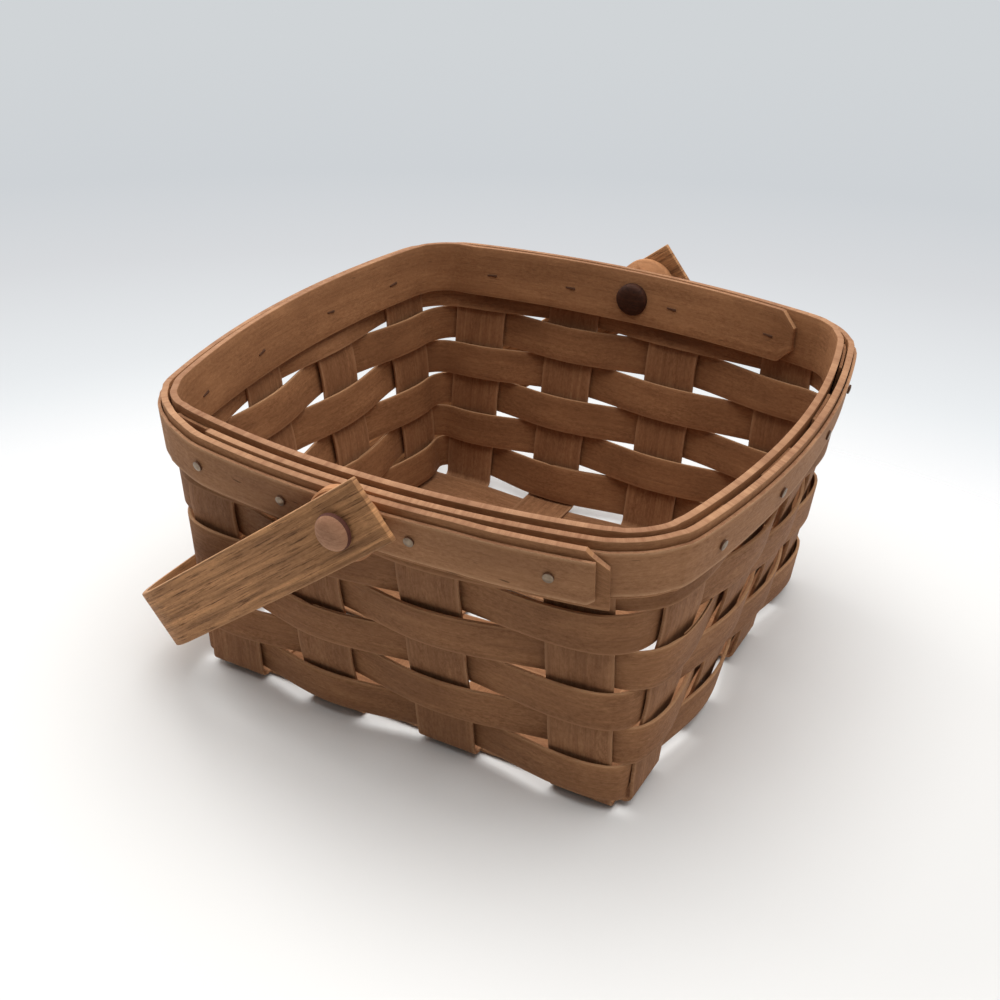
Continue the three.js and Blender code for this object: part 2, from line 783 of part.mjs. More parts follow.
for (let side = 0; side < 4; side++) {
  for (let stake = 0; stake < stakesPerSide; stake++) {
    const nail = add(basket, `rim_nail_${sideNames[side]}_${stake + 1}`, makeNail(side, stake), colours.nail);
    nail.applyMatrix4(nailMatrix(side, stake));
  }
}

for (const [end, facing] of [['near', 1], ['far', -1]]) {
  add(basket, `handle_peg_${end}`, makePeg(facing), colours.peg);
  add(basket, `handle_washer_${end}`, makeWasher(facing), colours.peg);
  add(basket, `handle_button_${end}`, makeButton(facing), colours.peg);
}

const handle = new THREE.Group();
handle.position.set(0, 0, pivotHeight);
handle.rotation.y = -restAngle();
add(handle, 'swing_handle', makeHandle(), colours.handle);
basket.add(handle);

export default basket;
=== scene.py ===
import math

import bpy
from mathutils import Matrix, Vector, noise


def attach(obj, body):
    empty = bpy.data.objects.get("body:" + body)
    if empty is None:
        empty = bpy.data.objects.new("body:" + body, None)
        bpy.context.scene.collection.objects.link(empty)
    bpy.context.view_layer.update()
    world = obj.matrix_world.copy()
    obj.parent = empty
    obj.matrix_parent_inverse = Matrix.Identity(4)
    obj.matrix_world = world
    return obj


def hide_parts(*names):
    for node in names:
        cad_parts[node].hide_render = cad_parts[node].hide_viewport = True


# Berry basket woven from flat wooden splints, with a nailed layered rim and a swing handle.
# Sizes are in millimetres and angles in radians unless a comment says otherwise. Those of the solid pieces
# repeat the part's, and a point becomes metres when it is placed.

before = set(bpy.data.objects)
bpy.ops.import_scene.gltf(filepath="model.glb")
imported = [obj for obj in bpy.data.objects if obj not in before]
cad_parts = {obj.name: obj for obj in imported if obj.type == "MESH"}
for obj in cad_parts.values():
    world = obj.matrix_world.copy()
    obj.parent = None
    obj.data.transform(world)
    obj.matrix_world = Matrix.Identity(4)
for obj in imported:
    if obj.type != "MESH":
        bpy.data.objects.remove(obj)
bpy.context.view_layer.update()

MM = 0.001

# Splints
splint_thickness = 1.0
stake_width = 19.0
stake_pitch = 39.7
stakes_per_side = 4
middle_shift = 3.4
weaver_width = 12.7
weaver_rows = 5
row_gap = 0.5
base_room = 1.5
fit_gap = 0.32

# Walls
corner_room = 3.4
flare = 17.3
base_corner_radius = 3.0
rim_corner_radius = 25.0
base_bow_angle = 0.01
rim_bow_angle = 0.235
fold_radius = 2.4
weaver_bulge = 1.2
stake_sway = 0.4
lap_ease = 4.0

# Rim
rim_room = 24.4
inner_band_width = 17.7
inner_band_thickness = 2.0
under_band_thickness = 2.0
outer_band_width = 13.4
outer_band_thickness = 1.0
under_band_drop = 1.2
outer_band_drop = 3.8
lap_drop = 1.2
under_band_lip = 1.6
corner_pinch = 0.45
stake_trim = 2.5
band_cut = 5.0
under_lap_end = 68.0
outer_lap_end = 65.3
under_lap_start = -53.0
outer_lap_start = 38.0
ramp_length = 10.0
feather_thickness = 0.4
inner_lap_start = -62.5
inner_lap_end = 62.0

# Nails, pegs and handle
nail_head_radius = 1.5
nail_head_height = 0.6
corner_nail_shift = 5.5
pivot_drop = 9.2
peg_radius = 3.0
peg_head_radius = 5.8
peg_head_height = 3.6
button_radius = 5.7
button_height = 2.3
washer_radius = 10.5
washer_thickness = 5.1
handle_width = 19.0
handle_thickness = 2.0
handle_room = 15.9
handle_tip = 14.4
handle_lean = 0.116
handle_ease = 12.0
handle_bend = 28.0

# Unevenness: how far an edge or a face strays, and how many times in a millimetre it turns
edge_stray = 0.12
stake_stray = 0.15
face_stray = 0.15
short_wave = 0.03
middle_wave = 0.02
long_wave = 0.015

# How far the first weaver's lower edge has settled between the far wall's outer stakes
settled_drop = 1.2
settled_end_drop = 0.9

# The sixth weaver, tucked in between the rim bands
tuck = 1.9
nip_thickness = 0.3
nip_clearance = 0.01
nip_steepness = 1.6
top_swing = 1.7
shown_share = 0.97

# Edges eased on each kind of strip, and the angles in degrees past which an edge is eased or drawn sharp
strip_bevel = 0.22
band_bevel = 0.45
handle_bevel = 0.35
top_weaver_bevel = 0.12
eased_angle = 50
strip_sharp_angle = 35
turned_sharp_angle = 40
edge_facing_share = 0.75

# Lines across each kind of strip, and the steps along it
weaver_lines = 6
band_lines = 6
stake_lines = 7
handle_lines = 7
weaver_step = 2.4
weaver_corner_step = 0.35
band_step = 3.0
band_end_step = 0.8
band_corner_step = 0.2
wall_steps = 44
fold_steps = 6
bottom_steps = 60
bottom_margin = 4.5

# Sizes that follow
half_splint = splint_thickness / 2
row_pitch = weaver_width + row_gap
crossing = splint_thickness + fit_gap
bottom_sway = crossing / 2
bottom_middle = half_splint + bottom_sway
first_row = bottom_middle + bottom_sway + half_splint + fit_gap + base_room
rim_height = first_row + weaver_rows * row_pitch + rim_room
outer_stake = stake_pitch * (stakes_per_side - 1) / 2
stake_reach = outer_stake + stake_width / 2
side_reach = stake_reach + corner_room
base_half_width = side_reach
side_turn = 2 * side_reach
perimeter = 4 * side_turn
slope = flare / rim_height
slope_angle = math.atan(slope)
band_gap = half_splint + fit_gap
pivot_height = rim_height - pivot_drop
under_band_top = rim_height - under_band_drop
outer_band_top = rim_height - outer_band_drop
outer_band_bottom = outer_band_top - outer_band_width
nail_height = (outer_band_top + outer_band_bottom) / 2
near_stack = band_gap + 2 * under_band_thickness + outer_band_thickness + 2 * fit_gap
far_stack = band_gap + under_band_thickness + fit_gap + outer_band_thickness
handle_reach = base_half_width + flare + far_stack + handle_room


# The wall, as in the part

def section(z):
    """Half width, corner radius and bow of the wall's middle at height z."""
    share = z / rim_height
    half = base_half_width + flare * share
    corner = base_corner_radius + (rim_corner_radius - base_corner_radius) * share
    bow = base_bow_angle + (rim_bow_angle - base_bow_angle) * share
    lean = math.sin(bow) - math.cos(bow)
    side = (half + corner * lean) / (1 + lean)
    side_arc = side * bow
    reach = side_arc + corner * (math.pi / 4 - bow)
    return half, corner, bow, side, side_arc, reach


def side_point(s, z):
    """Distance along a side, distance out from the middle, and facing, at arc distance s."""
    half, corner, bow, side, side_arc, _ = section(z)
    length = abs(s)
    if length <= side_arc:
        facing = s / side
        return side * math.sin(facing), half - side * (1 - math.cos(facing)), facing
    facing = bow + (length - side_arc) / corner
    along = (side - corner) * math.sin(bow) + corner * math.sin(facing)
    out = half - side + (side - corner) * math.cos(bow) + corner * math.cos(facing)
    return math.copysign(along, s), out, math.copysign(facing, s)


def side_axes(side):
    angle = side * math.pi / 2
    return Vector((math.cos(angle), math.sin(angle), 0)), Vector((math.sin(angle), -math.cos(angle), 0))


def around(side, along):
    return side * side_turn + side_reach + along


def wall_point(q, z, offset):
    """The point at place q and height z, pushed out from the middle of the wall by offset."""
    wrapped = q % perimeter
    side = min(int(wrapped // side_turn), 3)
    nominal = wrapped - side * side_turn - side_reach
    s = nominal
    if abs(nominal) > stake_reach:
        share = (abs(nominal) - stake_reach) / corner_room
        s = math.copysign(stake_reach + share * (section(z)[5] - stake_reach), nominal)
    along, out, facing = side_point(s, z)
    axis_along, axis_out = side_axes(side)
    point = axis_along * (along + offset * math.sin(facing)) + axis_out * (out + offset * math.cos(facing))
    return Vector((point.x, point.y, z))


def real_length(q, z):
    """Length along the wall's middle from place 0 to place q, at height z."""
    turns, wrapped = divmod(q, perimeter)
    stretch = (section(z)[5] - stake_reach) / corner_room
    side, rest = divmod(wrapped, side_turn)
    full = 2 * (stake_reach + corner_room * stretch)
    if rest < corner_room:
        part = rest * stretch
    elif rest > side_turn - corner_room:
        part = full - (side_turn - rest) * stretch
    else:
        part = corner_room * stretch + rest - corner_room
    return (4 * turns + side) * full + part


def ease(share):
    return share * share * (3 - 2 * share)


def runs_between(knots, shape):
    """A value that goes from knot to knot, each knot a place and a value; shape bends the way between two."""
    def value(q):
        if q <= knots[0][0]:
            return knots[0][1]
        for (start, low), (end, high) in zip(knots, knots[1:]):
            if q <= end:
                return shape(low, high, q - start, end - start)
        return knots[-1][1]
    return value


def smooth_runs(knots):
    return runs_between(knots, lambda low, high, gone, way: low + (high - low) * ease(gone / way))


def straight_runs(knots):
    return runs_between(knots, lambda low, high, gone, way: low + (high - low) * gone / way)


def wander(place, seed, scale):
    """A slow, repeatable unevenness between about -1 and 1."""
    return noise.noise(Vector((place * scale, seed * 7.31, seed * 1.7)))


# Materials

def srgb(red, green, blue):
    """A colour as its shares of 255 on screen, made linear, with its alpha."""
    shares = [c / 255 for c in (red, green, blue)]
    return (*(c / 12.92 if c <= 0.04 else ((c + 0.055) / 1.055) ** 2.4 for c in shares), 1)


def add_node(tree, kind, **settings):
    """A new node of a tree, placed below or beside the last one."""
    place = len(tree.nodes)
    node = tree.nodes.new(kind)
    node.location = (place // 5 * 220, place % 5 * -320)
    for key, value in settings.items():
        setattr(node, key, value)
    return node


def feed(tree, socket, value):
    """Links a socket to another node's output, or sets it to a constant."""
    if isinstance(value, bpy.types.NodeSocket):
        tree.links.new(value, socket)
    else:
        socket.default_value = value


def spread(tree, value, low=0.0, high=1.0, to_low=0.0, to_high=1.0, **settings):
    node = add_node(tree, "ShaderNodeMapRange", **settings)
    labels = ("Value", "From Min", "From Max", "To Min", "To Max")
    for label, amount in zip(labels, (value, low, high, to_low, to_high)):
        feed(tree, node.inputs[label], amount)
    return node.outputs["Result"]


def blend(tree, amount, a, b):
    node = add_node(tree, "ShaderNodeMix", data_type="RGBA")
    for place, value in ((0, amount), (6, a), (7, b)):
        feed(tree, node.inputs[place], value)
    return node.outputs[2]


def count(tree, operation, a, b=0.0):
    node = add_node(tree, "ShaderNodeMath", operation=operation)
    feed(tree, node.inputs[0], a)
    feed(tree, node.inputs[1], b)
    return node.outputs[0]


# How much of each effect a wood has unless it says otherwise
usual_amounts = {
    "Streaks": 0.3, "Pores": 0.4, "Blotches": 0.4, "Mottle": 0.6, "Flecks": 0.0,
    "Edge start": 0.88, "Edge wear": 0.5,
}

# Each pattern: its turns in a metre along and across the splint, detail, roughness and distortion
grain_patterns = {
    "streak": (22, 620, 5, 0.62, 0.4),
    "pore": (85, 2000, 4, 0.65, 0.0),
    "blotch": (26, 60, 4, 0.55, 0.5),
    "fine": (60, 4200, 4, 0.7, 0.0),
    "speckle": (520, 1100, 5, 0.8, 0.0),
    "cloud": (45, 130, 3, 0.5, 1.0),
    "fleck": (95, 520, 2, 0.5, 0.0),
}
fleck_colour = (0.02, 0.01, 0.006, 1)
fleck_depth = 0.6
# How much each pattern raises or sinks the surface
fine_relief = 0.5
streak_depth = 0.3
pore_depth = 0.8


def wood_grain_group():
    """Long streaks, short dark pores, soft blotches, fine mottling, dark flecks and paler worn edges."""
    group = bpy.data.node_groups.new("Splint grain", "ShaderNodeTree")
    sockets = [(label, "Color", (0.5, 0.3, 0.18, 1)) for label in ("Light", "Dark", "Edge colour")]
    sockets += [(label, "Float", amount) for label, amount in usual_amounts.items()]
    sockets += [("Half width", "Float", weaver_width / 2 * MM)]
    for label, kind, value in sockets:
        socket = group.interface.new_socket(name=label, in_out="INPUT", socket_type="NodeSocket" + kind)
        socket.default_value = value
    for label, kind in (("Colour", "Color"), ("Roughness", "Float"), ("Height", "Float")):
        group.interface.new_socket(name=label, in_out="OUTPUT", socket_type="NodeSocket" + kind)
    given = add_node(group, "NodeGroupInput").outputs
    place = add_node(group, "ShaderNodeUVMap").outputs["UV"]
    pattern = {}
    for name, (along, across, *settings) in grain_patterns.items():
        mapping = add_node(group, "ShaderNodeMapping")
        mapping.inputs["Scale"].default_value = (along, across, 1)
        feed(group, mapping.inputs["Vector"], place)
        texture = add_node(group, "ShaderNodeTexNoise")
        feed(group, texture.inputs["Vector"], mapping.outputs[0])
        for label, value in zip(("Scale", "Detail", "Roughness", "Distortion"), (1, *settings)):
            feed(group, texture.inputs[label], value)
        pattern[name] = texture.outputs["Fac"]

    def share_of(amount, name, low, high):
        return count(group, "MULTIPLY", spread(group, pattern[name], low, high), given[amount])

    streaks = spread(group, pattern["streak"], 0.34, 0.66)
    pores = share_of("Pores", "pore", 0.55, 0.66)
    clouds = spread(group, pattern["cloud"], 0.3, 0.7, 0.45, 1.0)
    speckles = count(group, "MULTIPLY", spread(group, pattern["speckle"], 0.3, 0.7), clouds)
    colour = given["Light"]
    for share in (count(group, "MULTIPLY", streaks, given["Streaks"]),
                  share_of("Blotches", "blotch", 0.32, 0.68),
                  count(group, "MULTIPLY", speckles, given["Mottle"]),
                  pores):
        colour = blend(group, share, colour, given["Dark"])
    deep = blend(group, fleck_depth, given["Dark"], fleck_colour)
    colour = blend(group, share_of("Flecks", "fleck", 0.70, 0.74), colour, deep)
    # Distance across the splint from its middle, against its half width, gives the worn edges
    split = add_node(group, "ShaderNodeSeparateXYZ")
    feed(group, split.inputs[0], place)
    distance = count(group, "ABSOLUTE", split.outputs["Y"])
    near_edge = spread(group, count(group, "DIVIDE", distance, given["Half width"]), given["Edge start"])
    worn = count(group, "MULTIPLY", near_edge, spread(group, pattern["speckle"], 0.35, 0.6))
    colour = blend(group, count(group, "MULTIPLY", worn, given["Edge wear"]), colour, given["Edge colour"])
    height = count(group, "MULTIPLY", pattern["fine"], fine_relief)
    for mask, depth in ((streaks, streak_depth), (pores, pore_depth)):
        height = count(group, "SUBTRACT", height, count(group, "MULTIPLY", mask, depth))
    result = add_node(group, "NodeGroupOutput").inputs
    feed(group, result["Colour"], colour)
    feed(group, result["Roughness"], spread(group, pattern["speckle"], 0.3, 0.7, 0.58, 0.82))
    feed(group, result["Height"], height)
    return group


grain = wood_grain_group()


def new_material(name):
    material = bpy.data.materials.new(name)
    material.use_nodes = True
    return material, material.node_tree, material.node_tree.nodes["Principled BSDF"].inputs


def splint_wood(name, light, dark, edge=None, width=None, bump=0.25, **amounts):
    """A wood of two colours, with a third one on its edges where they are worn; width is then the strip's.

    amounts are those of its effects that aren't the usual ones."""
    material, tree, shader = new_material(name)
    effect = add_node(tree, "ShaderNodeGroup")
    effect.node_tree = grain
    given = {label.replace("_", " ").capitalize(): value for label, value in amounts.items()}
    given.update({"Light": srgb(*light), "Dark": srgb(*dark)})
    if edge is None:
        given["Edge wear"] = 0.0
    else:
        given.update({"Edge colour": srgb(*edge), "Half width": width / 2 * MM})
    for label, value in {**usual_amounts, **given}.items():
        effect.inputs[label].default_value = value
    relief = add_node(tree, "ShaderNodeBump")
    relief.inputs["Strength"].default_value = bump
    relief.inputs["Distance"].default_value = 0.4 * MM
    feed(tree, relief.inputs["Height"], effect.outputs["Height"])
    feed(tree, shader["Base Color"], effect.outputs["Colour"])
    feed(tree, shader["Roughness"], effect.outputs["Roughness"])
    feed(tree, shader["Normal"], relief.outputs["Normal"])
    shader["Specular IOR Level"].default_value = 0.18
    return material


stake_wood = splint_wood(
    "Stake wood", (178, 130, 92), (112, 72, 45), (196, 152, 114), stake_width,
    streaks=0.5, blotches=0.45, mottle=1.0, pores=0.5)
weaver_wood = splint_wood(
    "Weaver wood", (178, 128, 88), (108, 69, 42), (196, 150, 110), weaver_width,
    streaks=0.35, blotches=0.55, mottle=1.0, pores=0.45)
outer_band_wood = splint_wood(
    "Band wood", (186, 137, 97), (118, 78, 50), (214, 170, 130), outer_band_width,
    streaks=0.2, mottle=0.9, flecks=0.8, edge_wear=0.8, edge_start=0.82)
wide_band_wood = splint_wood(
    "Wide band wood", (186, 135, 93), (114, 74, 46), (206, 160, 118), inner_band_width,
    mottle=0.9, blotches=0.5, flecks=0.5, edge_wear=0.4, edge_start=0.95)
handle_wood = splint_wood(
    "Handle wood", (220, 162, 110), (80, 48, 28), (204, 158, 116), handle_width, bump=0.4,
    streaks=0.7, pores=0.85, blotches=0.15, mottle=0.5, edge_wear=0.7, edge_start=0.94)
cut_wood = splint_wood(
    "Cut edge wood", (196, 150, 112), (116, 74, 50), streaks=0.35, blotches=0.5, mottle=0.9)
weaver_edge_wood = splint_wood("Weaver edge wood", (200, 156, 116), (140, 98, 66))
peg_wood = splint_wood("Peg wood", (208, 158, 124), (122, 82, 60), pores=0.5, blotches=0.7, mottle=0.8)
# The foot of the knob's side is painted darker, as painted shade where the side turns from the light
peg_side_painted_shade = splint_wood("Peg side painted shade", (112, 70, 58), (70, 40, 34), mottle=0.8)
washer_wood = splint_wood("Washer wood", (206, 148, 102), (136, 90, 58), blotches=0.5)
button_wood = splint_wood("Button wood", (84, 46, 28), (26, 12, 7), mottle=1.0)
# Darker brown for the nails' clinched tips as stain, and for the sides of their heads as painted shade with
# stain
nail_stain_and_shade = splint_wood("Nail stain and shade", (112, 76, 54), (54, 34, 24))


def dull_brass():
    material, tree, shader = new_material("Dull brass")
    shader["Metallic"].default_value = 0.85
    where = add_node(tree, "ShaderNodeTexCoord")
    stain = add_node(tree, "ShaderNodeTexNoise")
    stain.inputs["Scale"].default_value = 900
    stain.inputs["Detail"].default_value = 4
    feed(tree, stain.inputs["Vector"], where.outputs["Object"])
    spots = stain.outputs["Fac"]
    feed(tree, shader["Base Color"], blend(tree, spots, srgb(158, 140, 120), srgb(92, 76, 62)))
    feed(tree, shader["Roughness"], spread(tree, spots, to_low=0.28, to_high=0.5))
    return material


brass = dull_brass()


# Making strips

uv_shift = 3.7  # metres between the grain of one piece and that of the next
piece_count = 0


def next_uv_shift():
    global piece_count
    piece_count += 1
    return piece_count * uv_shift


def select_only(piece):
    bpy.ops.object.select_all(action="DESELECT")
    piece.select_set(True)
    bpy.context.view_layer.objects.active = piece


def add_shape(name, kind, **settings):
    bpy.ops.object.select_all(action="DESELECT")
    kind(**settings)
    bpy.context.object.name = name
    return bpy.context.object


def to_mode(mode):
    bpy.ops.object.mode_set(mode=mode)


def edit_points(action):
    """Opens the active piece for editing and selects all of it or nothing."""
    to_mode("EDIT")
    bpy.ops.mesh.select_all(action=action)


def apply_all(piece):
    select_only(piece)
    for modifier in list(piece.modifiers):
        bpy.ops.object.modifier_apply(modifier=modifier.name)


def finish_piece(piece, sharp_angle, body, slot, *replaced):
    select_only(piece)
    bpy.ops.object.shade_smooth_by_angle(angle=math.radians(sharp_angle))
    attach(piece, body)
    if replaced:
        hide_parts(*replaced)


def lines_across(width, lines):
    """The places of evenly spaced lines across a strip, from its middle."""
    return [width * (j / (lines - 1) - 0.5) for j in range(lines)]


def lay_strip(name, place, lengths, widths, thickness, wood, body, slot, *replaced,
              edge_wood=None, thin=None, bevel=strip_bevel):
    """A flat grid bent into place, given its thickness and its eased edges.

    place(i, j) is the point of column i and row j, and thin(i, j) the share of the thickness there;
    lengths and widths are the columns' and rows' places on the flat strip."""
    shift = next_uv_shift()
    last_column, last_row = len(lengths) - 1, len(widths) - 1
    piece = add_shape(name, bpy.ops.mesh.primitive_grid_add,
                      x_subdivisions=last_column, y_subdivisions=last_row, size=2)
    mesh = piece.data
    mesh.name = name
    spots = [(round((vertex.co.x + 1) / 2 * last_column), round((vertex.co.y + 1) / 2 * last_row))
             for vertex in mesh.vertices]
    for vertex, (i, j) in zip(mesh.vertices, spots):
        vertex.co = place(i, j) * MM
    layer = mesh.uv_layers.active
    for loop in mesh.loops:
        i, j = spots[loop.vertex_index]
        layer.data[loop.index].uv = (lengths[i] * MM + shift, widths[j] * MM)
    solid = piece.modifiers.new("Thickness", "SOLIDIFY")
    solid.thickness = thickness * MM
    solid.offset = 0
    if thin is not None:
        group = piece.vertex_groups.new(name="thin")
        for vertex, (i, j) in zip(mesh.vertices, spots):
            group.add([vertex.index], thin(i, j), "REPLACE")
        solid.vertex_group = "thin"
    apply_all(piece)
    piece.data.materials.append(wood)
    if edge_wood is not None:
        piece.data.materials.append(edge_wood)
    eased = piece.modifiers.new("Eased edges", "BEVEL")
    eased.width = bevel * MM
    eased.segments = 2
    eased.limit_method = "ANGLE"
    eased.angle_limit = math.radians(eased_angle)
    apply_all(piece)
    finish_piece(piece, strip_sharp_angle, body, slot, *replaced)
    if edge_wood is not None:
        for polygon in piece.data.polygons:
            if abs(polygon.normal.z) > edge_facing_share:
                polygon.material_index = 1


def in_corner(q):
    return abs(q % side_turn - side_reach) > stake_reach


def walk(start, end, step):
    """Places from start to end, where step(q) is the step taken from place q."""
    places = []
    q = start
    while q < end:
        places.append(q)
        q += step(q)
    return places + [end]


def stake_outside(stake, row):
    return (stake + row) % 2 == 0


def outermost(stake):
    return stake in (0, stakes_per_side - 1)


def stake_centre(side, stake):
    """Middle of a stake; the middle ones of the lengthways set all stand a little towards -X."""
    shift = 0 if outermost(stake) else middle_shift * math.cos(side * math.pi / 2)
    return stake * stake_pitch - outer_stake - shift


# Weavers

row_names = ("first", "second", "third", "fourth", "fifth", "sixth")


def weaver_sway(row, height):
    """How a weaver goes in and out of the stakes, from -1 behind the middle of one to 1 before the next."""
    centres = [(real_length(around(side, stake_centre(side, stake)) + (turn - 1) * perimeter, height),
                -1 if stake_outside(stake, row) else 1)
               for turn in range(3) for side in range(4) for stake in range(stakes_per_side)]

    def sway(q):
        here = real_length(q, height)
        for (a, way), (b, _) in zip(centres, centres[1:]):
            if a <= here <= b:
                return way * math.cos(math.pi * (here - a) / (b - a))
        return 0.0

    return sway


def weaver_course(row):
    """A weaver's lower height, places round the wall and their lengths, and how it sways, laps and thins."""
    low = first_row + row * row_pitch
    height = low + weaver_width / 2
    lap_side = (2 + row) % 4
    lap_stake = 1 if stake_outside(0, row) else 0
    start = around(lap_side, stake_centre(lap_side, lap_stake))
    lap = around(lap_side, stake_centre(lap_side, lap_stake + 1)) - start
    places = walk(start, start + perimeter + lap,
                  lambda q: weaver_corner_step if in_corner(q) else weaver_step)
    # The two thinned ends lie on each other
    thin = (splint_thickness - fit_gap) / 2
    push = (splint_thickness - thin) / 2
    share = thin / splint_thickness
    turns = (start + lap, start + lap + lap_ease, start + perimeter - lap_ease, start + perimeter)
    lapped = smooth_runs(list(zip(turns, (-push, 0, 0, push))))
    fullness = smooth_runs(list(zip(turns, (share, 1, 1, share))))
    lengths = [real_length(q, height) for q in places]
    return low, places, lengths, weaver_sway(row, height), lapped, fullness


settling = smooth_runs([
    (around(2, -outer_stake), 0), (around(2, -outer_stake / 2), settled_drop),
    (around(2, outer_stake / 2), settled_end_drop), (around(2, outer_stake), 0),
])


def make_weaver(row):
    low, places, lengths, sway, lapped, fullness = weaver_course(row)
    amplitude = crossing + weaver_bulge

    def place(i, j):
        q = places[i]
        share = j / (weaver_lines - 1)
        trim = edge_stray * wander(q, row + 20 * (share > 0.5), short_wave) if share in (0, 1) else 0
        settled = settling(q) * (1 - share) if row == 0 else 0
        z = low + weaver_width * share + trim - settled
        tilt = edge_stray * wander(q, row + 3, middle_wave)
        return wall_point(q, z, amplitude * sway(q) + lapped(q) + tilt * (share - 0.5))

    node = f"weaver_{row_names[row]}_row"
    lay_strip(f"woven_{node}", place, lengths, lines_across(weaver_width, weaver_lines), splint_thickness,
              weaver_wood, "basket", "weaver_wood", node, edge_wood=weaver_edge_wood,
              thin=lambda i, j: fullness(places[i]))


for row in range(weaver_rows):
    make_weaver(row)


# Stakes

def stake_stations(side, stake):
    """Each station of a stake as a function from its place across to a point, from one rim to the other."""
    way = 1 if stake_outside(stake, 0) else -1

    def wall(side, middle, flip, way):
        top = rim_height - stake_trim
        axis_along, axis_out = side_axes(side)
        found = []
        for k in range(wall_steps + 1):
            z = top - (top - first_row - weaver_width / 2) * k / wall_steps
            row_share = (z - first_row - weaver_width / 2) / row_pitch
            sway = way * stake_sway * math.cos(math.pi * min(row_share, weaver_rows - 0.5))
            found.append(lambda a, z=z, sway=sway: wall_point(around(side, middle + flip * a), z, sway))
        centre_height = bottom_middle + way * bottom_sway + fold_radius
        wall_out = base_half_width + slope * (centre_height - fold_radius * math.sin(slope_angle))
        centre_out = wall_out + way * stake_sway - fold_radius * math.cos(slope_angle)
        for k in range(fold_steps + 1):
            tilt = (math.pi / 2 - slope_angle) * (1 - k / fold_steps)
            lift = Vector((0, 0, centre_height - fold_radius * math.cos(tilt)))
            spot = axis_out * (centre_out + fold_radius * math.sin(tilt)) + lift
            found.append(lambda a, spot=spot: axis_along * (middle + flip * a) + spot)
        return found

    middle = stake_centre(side, stake)
    opposite_way = 1 if stake_outside(stakes_per_side - 1 - stake, 0) else -1
    first = wall(side, middle, 1, way)
    last = wall(side + 2, -middle, -1, opposite_way)
    axis_along, axis_out = side_axes(side)
    bottom = []
    crossed = straight_runs([(stake_centre(side + 1, k), k) for k in range(stakes_per_side)])
    reach = base_half_width - bottom_margin
    for k in range(bottom_steps + 1):
        out = reach - 2 * reach * k / bottom_steps
        lift = Vector((0, 0, bottom_middle + way * bottom_sway * math.cos(math.pi * crossed(-out))))
        bottom.append(lambda a, spot=axis_out * out + lift: axis_along * (middle + a) + spot)
    return first + bottom + last[::-1]


def running_lengths(steps):
    """Where each point of a line lies along it, from the lengths of the steps between them."""
    lengths = [0.0]
    for step in steps:
        lengths.append(lengths[-1] + step)
    return lengths


def make_stake(side, stake):
    found = stake_stations(side, stake)
    widths = lines_across(stake_width, stake_lines)
    middle = [station(0.0) for station in found]
    lengths = running_lengths((b - a).length for a, b in zip(middle, middle[1:]))

    def place(i, j):
        at_edge = j in (0, stake_lines - 1)
        stray = stake_stray * wander(lengths[i], side * 10 + stake + j, short_wave) if at_edge else 0
        return found[i](widths[j] + stray)

    node = f"stake_{'lengthways' if side == 0 else 'crossways'}_{stake + 1}"
    lay_strip(f"woven_{node}", place, lengths, widths, splint_thickness, stake_wood,
              "basket", "stake_wood", node)


for side in (0, 1):
    for stake in range(stakes_per_side):
        make_stake(side, stake)


# Rim bands

def pinch(q):
    """How far a band draws in at place q of a corner, where no stake holds the bands apart."""
    share = max(abs(q % side_turn - side_reach) - stake_reach, 0) / corner_room
    return corner_pinch * (1 - (1 - min(share * 2.5, 1)) ** 2)


def make_band(node, start, end, inner, thickness, low, high, wood=wide_band_wood, thin=None):
    def step(q):
        near_end = q - start < band_cut or end - q < band_cut
        return band_corner_step if in_corner(q) else (band_end_step if near_end else band_step)

    places = walk(start, end, step)
    seed = len(node)

    def place(i, j):
        q = places[i]
        bottom, top = low(q), high(q)
        share = j / (band_lines - 1)
        z = bottom + (top - bottom) * share + edge_stray * wander(q, seed, middle_wave) * (1 - share)
        push = face_stray * wander(q, seed + 5, long_wave) / 2
        offset = inner(q) - math.copysign(pinch(q), inner(q))
        return wall_point(q, z, offset + thickness / 2 + push)

    middle = (start + end) / 2
    lengths = [real_length(q, (low(middle) + high(middle)) / 2) for q in places]
    lay_strip(f"bent_{node}", place, lengths, lines_across(high(middle) - low(middle), band_lines), thickness,
              wood, "basket", "band_wood", node, edge_wood=cut_wood, bevel=band_bevel,
              thin=thin and (lambda i, j: thin(places[i])))


# How far the laps over the near wall are pushed out by the outer band's start, which lies under them
lap_push = straight_runs([
    (around(0, outer_lap_start - ramp_length) + perimeter, 0),
    (around(0, outer_lap_start) + perimeter, feather_thickness + fit_gap),
    (around(0, outer_lap_end) + perimeter, outer_band_thickness + fit_gap),
])


